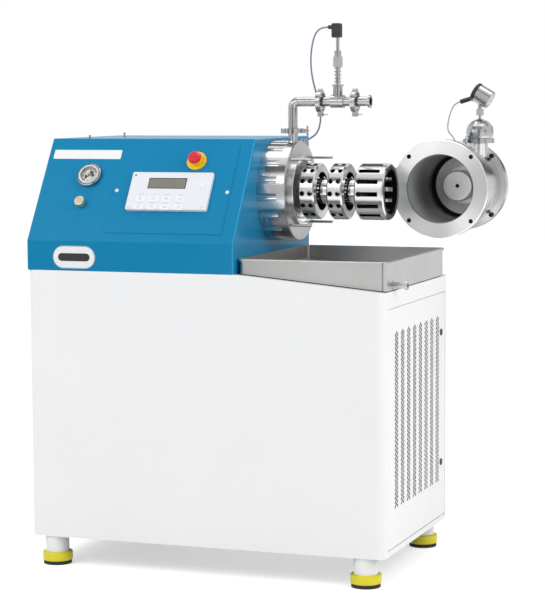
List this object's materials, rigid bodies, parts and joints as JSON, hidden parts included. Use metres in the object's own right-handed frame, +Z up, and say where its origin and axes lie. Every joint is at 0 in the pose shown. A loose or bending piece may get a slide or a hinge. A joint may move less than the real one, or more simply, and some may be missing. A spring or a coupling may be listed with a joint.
{
  "type": "bead mill",
  "caption": "Floor-standing horizontal bead mill with a slant-front drive hood, its grinding chamber pulled out and swung open to show the disc and cage rotor.",
  "frame": {"origin": "on the floor, under the middle of the mill's bounding box, cords left out", "axes": "+X along the mill axis from the drive to the chamber, +Y from the control front to the back, +Z up"},
  "size_m": [1.2503, 0.88, 1.596],
  "materials": {
    "light_grey_enamel": "satin powder coat",
    "blue_enamel": "gloss coat",
    "black_enamel": "matt coat",
    "grey_casting": "painted casting",
    "stainless_sheet": "brushed",
    "stainless_turned": "fine turned",
    "polished_stainless": "polished",
    "zinc_steel": "bright zinc",
    "liner_ceramic": "dark grey ceramic",
    "black_plastic": "moulded",
    "black_rubber": "moulded",
    "grey_cable_jacket": "smooth jacket",
    "yellow_plastic": "moulded",
    "red_plastic": "moulded",
    "white_membrane": "printed film over a moulded case",
    "gauge_steel": "polished rim, white dial",
    "regulator_metal": "plated brass"
  },
  "bodies": {
    "cabinet": {"cabinet_shell": "light_grey_enamel", "rear_cover": "light_grey_enamel", "base_frame": "black_enamel", "foot_stems": "light_grey_enamel", "foot_rings": "yellow_plastic", "foot_pads": "black_rubber", "door_frame": "black_enamel", "hood_shell": "blue_enamel", "control_plate": "blue_enamel", "display_panel": "white_membrane", "estop_base": "yellow_plastic", "air_gauge": "gauge_steel", "regulator_body": "regulator_metal", "tray_gasket": "black_rubber", "drip_tray": "stainless_sheet", "bearing_housing": "stainless_turned", "seal_carrier": "polished_stainless", "shaft_seal": "liner_ceramic", "chamber_studs": "zinc_steel", "bearing_unit": "grey_casting", "shaft_bearings": "zinc_steel", "guide_pedestal": "black_enamel", "drive_belts": "black_rubber", "drive_motor": "black_enamel", "electrics_box": "black_enamel", "pipe_clamps": "polished_stainless", "product_elbow": "polished_stainless", "product_tee": "polished_stainless", "product_nozzle": "polished_stainless", "temperature_sensor": "polished_stainless", "sensor_plug": "black_plastic", "sensor_cable": "grey_cable_jacket"},
    "carriage": {"guide_bar": "zinc_steel", "carriage_head": "stainless_turned", "hinge_pin": "zinc_steel"},
    "chamber": {"chamber_shell": "stainless_turned", "chamber_liner": "liner_ceramic", "chamber_end_plate": "stainless_turned", "end_plate_bolts": "zinc_steel", "screen_cartridge": "stainless_turned", "chamber_lugs": "stainless_turned", "port_clamp": "polished_stainless", "diaphragm_seal": "polished_stainless", "pressure_gauge_case": "gauge_steel", "pressure_gauge_back": "black_plastic", "gauge_cable": "grey_cable_jacket"},
    "rotor": {"main_shaft": "polished_stainless", "inner_rotor_disc": "polished_stainless", "outer_rotor_disc": "polished_stainless", "rotor_spacers": "polished_stainless", "cage_rotor": "polished_stainless", "driven_pulley": "grey_casting"},
    "motor_rotor": {"motor_pulley": "grey_casting"},
    "dial_hand": {"air_needle": "black_plastic"},
    "regulator": {"regulator_knob": "regulator_metal"},
    "stop_button": {"estop_button": "red_plastic"},
    "door": {"side_door": "light_grey_enamel"},
    "low_lock": {"lower_lock": "black_plastic"},
    "high_lock": {"upper_lock": "black_plastic"},
    "pressure_hand": {"pressure_needle": "black_plastic"}
  },
  "joints": [
    {"name": "carriage_slide", "type": "slide", "parent": "cabinet", "child": "carriage", "axis": [1, 0, 0], "range_m": [-0.283, 0]},
    {"name": "chamber_swing", "type": "hinge", "parent": "carriage", "child": "chamber", "pos_m": [0.32715, 0.051, 1.105], "axis": [0, 0, 1], "range_deg": [-90, 0]},
    {"name": "rotor_spin", "type": "hinge", "parent": "cabinet", "child": "rotor", "pos_m": [0.11385, -0.099, 1.105], "axis": [1, 0, 0], "continuous": true},
    {"name": "motor_spin", "type": "hinge", "parent": "cabinet", "child": "motor_rotor", "pos_m": [-0.56315, -0.099, 0.33], "axis": [1, 0, 0], "continuous": true},
    {"name": "air_needle_turn", "type": "hinge", "parent": "cabinet", "child": "dial_hand", "pos_m": [-0.47115, -0.31657, 1.15122], "axis": [0, -0.8412, 0.5408], "range_deg": [-270, 0]},
    {"name": "regulator_turn", "type": "hinge", "parent": "cabinet", "child": "regulator", "pos_m": [-0.47765, -0.36713, 1.07257], "axis": [0, -0.8412, 0.5408], "range_deg": [-720, 0]},
    {"name": "estop_press", "type": "slide", "parent": "cabinet", "child": "stop_button", "axis": [0, 0.8412, -0.5408], "range_m": [0, 0.005]},
    {"name": "side_door_swing", "type": "hinge", "parent": "cabinet", "child": "door", "pos_m": [0.46685, -0.393, 0.105], "axis": [0, 0, 1], "range_deg": [-95, 0]},
    {"name": "lower_lock_turn", "type": "hinge", "parent": "door", "child": "low_lock", "pos_m": [0.47485, 0.145, 0.272], "axis": [1, 0, 0], "range_deg": [-90, 0]},
    {"name": "upper_lock_turn", "type": "hinge", "parent": "door", "child": "high_lock", "pos_m": [0.47485, 0.145, 0.67], "axis": [1, 0, 0], "range_deg": [-90, 0]},
    {"name": "pressure_needle_turn", "type": "hinge", "parent": "chamber", "child": "pressure_hand", "pos_m": [0.55215, 0.356, 1.3792], "axis": [0.866, 0, -0.5], "range_deg": [-270, 0]}
  ],
  "couplings": [
    {"joint": "motor_spin", "follows": "rotor_spin", "ratio": 1.2548}
  ]
}
